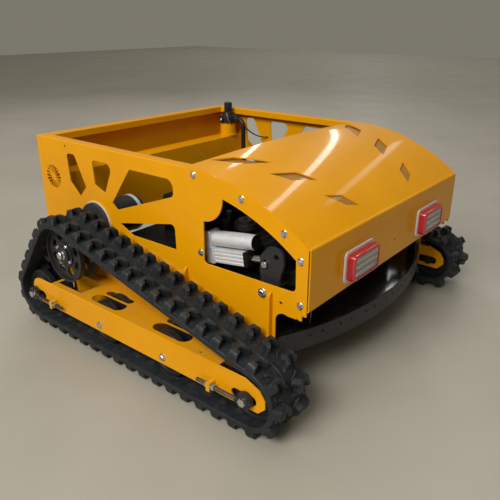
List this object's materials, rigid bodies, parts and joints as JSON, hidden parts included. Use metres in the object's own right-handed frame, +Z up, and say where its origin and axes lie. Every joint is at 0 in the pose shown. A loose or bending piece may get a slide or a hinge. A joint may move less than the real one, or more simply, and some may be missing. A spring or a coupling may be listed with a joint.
{
  "type": "tracked tank chassis",
  "caption": "Tracked carrier chassis with rubber tracks, an open sheet-metal body, a curved vented hood, two lamps, an electric actuator and a lifting front deck.",
  "frame": {"origin": "middle of the footprint on the ground", "axes": "+X towards the lamp end, +Y to the left side, +Z up"},
  "size_m": [1.076, 1.184, 0.592],
  "materials": {
    "aluminium": "satin",
    "black_gloss": "gloss black",
    "black_plastic": "matte",
    "brass": "satin",
    "cast": "satin",
    "chrome": "polished",
    "clear": "gloss",
    "dark_steel": "satin black",
    "lens": "gloss ribbed",
    "paint": "gloss powder coat",
    "paint_shade": "satin",
    "red": "gloss",
    "rubber": "matte",
    "zinc": "satin zinc"
  },
  "bodies": {
    "chassis": {"side_plate_right": "paint", "side_plate_left": "paint", "rear_wall": "paint", "cross_beam": "paint", "hood": "paint", "vent_pockets": "paint_shade", "hood_bolts": "zinc", "pivot_bolts": "zinc", "lamp_base_right": "clear", "lamp_shell_right": "red", "lamp_lens_right": "lens", "lamp_base_left": "clear", "lamp_shell_left": "red", "lamp_lens_left": "lens", "post": "paint", "post_fitting": "black_plastic", "conduit": "black_plastic", "sensor_lead": "black_plastic", "power_unit": "black_plastic", "cap_bracket": "dark_steel", "pulley_cap": "cast", "track_frame_right": "paint", "track_frame_left": "paint", "frame_arms": "paint", "roller_bolts": "zinc", "tension_lugs": "brass", "track_belt_right": "rubber", "track_belt_left": "rubber", "drive_cases": "cast", "drive_motors": "black_gloss", "motor_bands": "aluminium", "actuator_housing": "aluminium", "actuator_motor": "aluminium", "actuator_tube": "aluminium", "actuator_end_caps": "black_plastic"},
    "drive_wheel_right": {"sprocket_right": "dark_steel", "sprocket_bolts_right": "zinc"},
    "tensioner_front_right": {"tension_rod_front_right": "dark_steel"},
    "idler_wheel_front_right": {"idler_front_right": "black_plastic"},
    "tensioner_rear_right": {"tension_rod_rear_right": "dark_steel"},
    "idler_wheel_rear_right": {"idler_rear_right": "black_plastic"},
    "road_wheel_front_right": {"roller_front_right": "black_plastic"},
    "road_wheel_rear_right": {"roller_rear_right": "black_plastic"},
    "drive_wheel_left": {"sprocket_left": "dark_steel", "sprocket_bolts_left": "zinc"},
    "tensioner_front_left": {"tension_rod_front_left": "dark_steel"},
    "idler_wheel_front_left": {"idler_front_left": "black_plastic"},
    "tensioner_rear_left": {"tension_rod_rear_left": "dark_steel"},
    "idler_wheel_rear_left": {"idler_rear_left": "black_plastic"},
    "road_wheel_front_left": {"roller_front_left": "black_plastic"},
    "road_wheel_rear_left": {"roller_rear_left": "black_plastic"},
    "piston": {"actuator_rod": "chrome", "rod_pin": "chrome"},
    "lift_linkage": {"lever": "dark_steel", "lift_shaft": "dark_steel"},
    "deck": {"deck_pan": "black_gloss", "deck_skirt": "dark_steel"}
  },
  "joints": [
    {"name": "drive_spin_right", "type": "hinge", "parent": "chassis", "child": "drive_wheel_right", "pos_m": [-0.278, -0.5155, 0.263], "axis": [0, 1, 0], "continuous": true},
    {"name": "tension_front_right", "type": "slide", "parent": "chassis", "child": "tensioner_front_right", "axis": [1, 0, 0], "range_m": [-0.012, 0]},
    {"name": "idler_spin_front_right", "type": "hinge", "parent": "tensioner_front_right", "child": "idler_wheel_front_right", "pos_m": [0.434, -0.5155, 0.104], "axis": [0, 1, 0], "continuous": true},
    {"name": "tension_rear_right", "type": "slide", "parent": "chassis", "child": "tensioner_rear_right", "axis": [-1, 0, 0], "range_m": [-0.012, 0]},
    {"name": "idler_spin_rear_right", "type": "hinge", "parent": "tensioner_rear_right", "child": "idler_wheel_rear_right", "pos_m": [-0.422, -0.5155, 0.104], "axis": [0, 1, 0], "continuous": true},
    {"name": "roller_spin_front_right", "type": "hinge", "parent": "chassis", "child": "road_wheel_front_right", "pos_m": [0.154, -0.5155, 0.1], "axis": [0, 1, 0], "continuous": true},
    {"name": "roller_spin_rear_right", "type": "hinge", "parent": "chassis", "child": "road_wheel_rear_right", "pos_m": [-0.105, -0.5155, 0.1], "axis": [0, 1, 0], "continuous": true},
    {"name": "drive_spin_left", "type": "hinge", "parent": "chassis", "child": "drive_wheel_left", "pos_m": [-0.278, 0.5155, 0.263], "axis": [0, 1, 0], "continuous": true},
    {"name": "tension_front_left", "type": "slide", "parent": "chassis", "child": "tensioner_front_left", "axis": [1, 0, 0], "range_m": [-0.012, 0]},
    {"name": "idler_spin_front_left", "type": "hinge", "parent": "tensioner_front_left", "child": "idler_wheel_front_left", "pos_m": [0.434, 0.5155, 0.104], "axis": [0, 1, 0], "continuous": true},
    {"name": "tension_rear_left", "type": "slide", "parent": "chassis", "child": "tensioner_rear_left", "axis": [-1, 0, 0], "range_m": [-0.012, 0]},
    {"name": "idler_spin_rear_left", "type": "hinge", "parent": "tensioner_rear_left", "child": "idler_wheel_rear_left", "pos_m": [-0.422, 0.5155, 0.104], "axis": [0, 1, 0], "continuous": true},
    {"name": "roller_spin_front_left", "type": "hinge", "parent": "chassis", "child": "road_wheel_front_left", "pos_m": [0.154, 0.5155, 0.1], "axis": [0, 1, 0], "continuous": true},
    {"name": "roller_spin_rear_left", "type": "hinge", "parent": "chassis", "child": "road_wheel_rear_left", "pos_m": [-0.105, 0.5155, 0.1], "axis": [0, 1, 0], "continuous": true},
    {"name": "rod_slide", "type": "slide", "parent": "chassis", "child": "piston", "axis": [0.9893, 0, 0.1461], "range_m": [-0.015, 0.025]},
    {"name": "lever_swing", "type": "hinge", "parent": "chassis", "child": "lift_linkage", "pos_m": [0.368, 0, 0.298], "axis": [0, 1, 0], "range_deg": [-12.8, 21.4]},
    {"name": "deck_lift", "type": "slide", "parent": "chassis", "child": "deck", "axis": [0, 0, 1], "range_m": [-0.0206, 0.0124]}
  ],
  "couplings": [
    {"joint": "idler_spin_front_right", "follows": "drive_spin_right", "ratio": 1.24},
    {"joint": "idler_spin_rear_right", "follows": "drive_spin_right", "ratio": 1.24},
    {"joint": "roller_spin_front_right", "follows": "drive_spin_right", "ratio": 1.4646},
    {"joint": "roller_spin_rear_right", "follows": "drive_spin_right", "ratio": 1.4646},
    {"joint": "idler_spin_front_left", "follows": "drive_spin_left", "ratio": 1.24},
    {"joint": "idler_spin_rear_left", "follows": "drive_spin_left", "ratio": 1.24},
    {"joint": "roller_spin_front_left", "follows": "drive_spin_left", "ratio": 1.4646},
    {"joint": "roller_spin_rear_left", "follows": "drive_spin_left", "ratio": 1.4646},
    {"joint": "lever_swing", "follows": "rod_slide", "rad_per_m": 14.835},
    {"joint": "deck_lift", "follows": "rod_slide", "ratio": -0.8159}
  ]
}
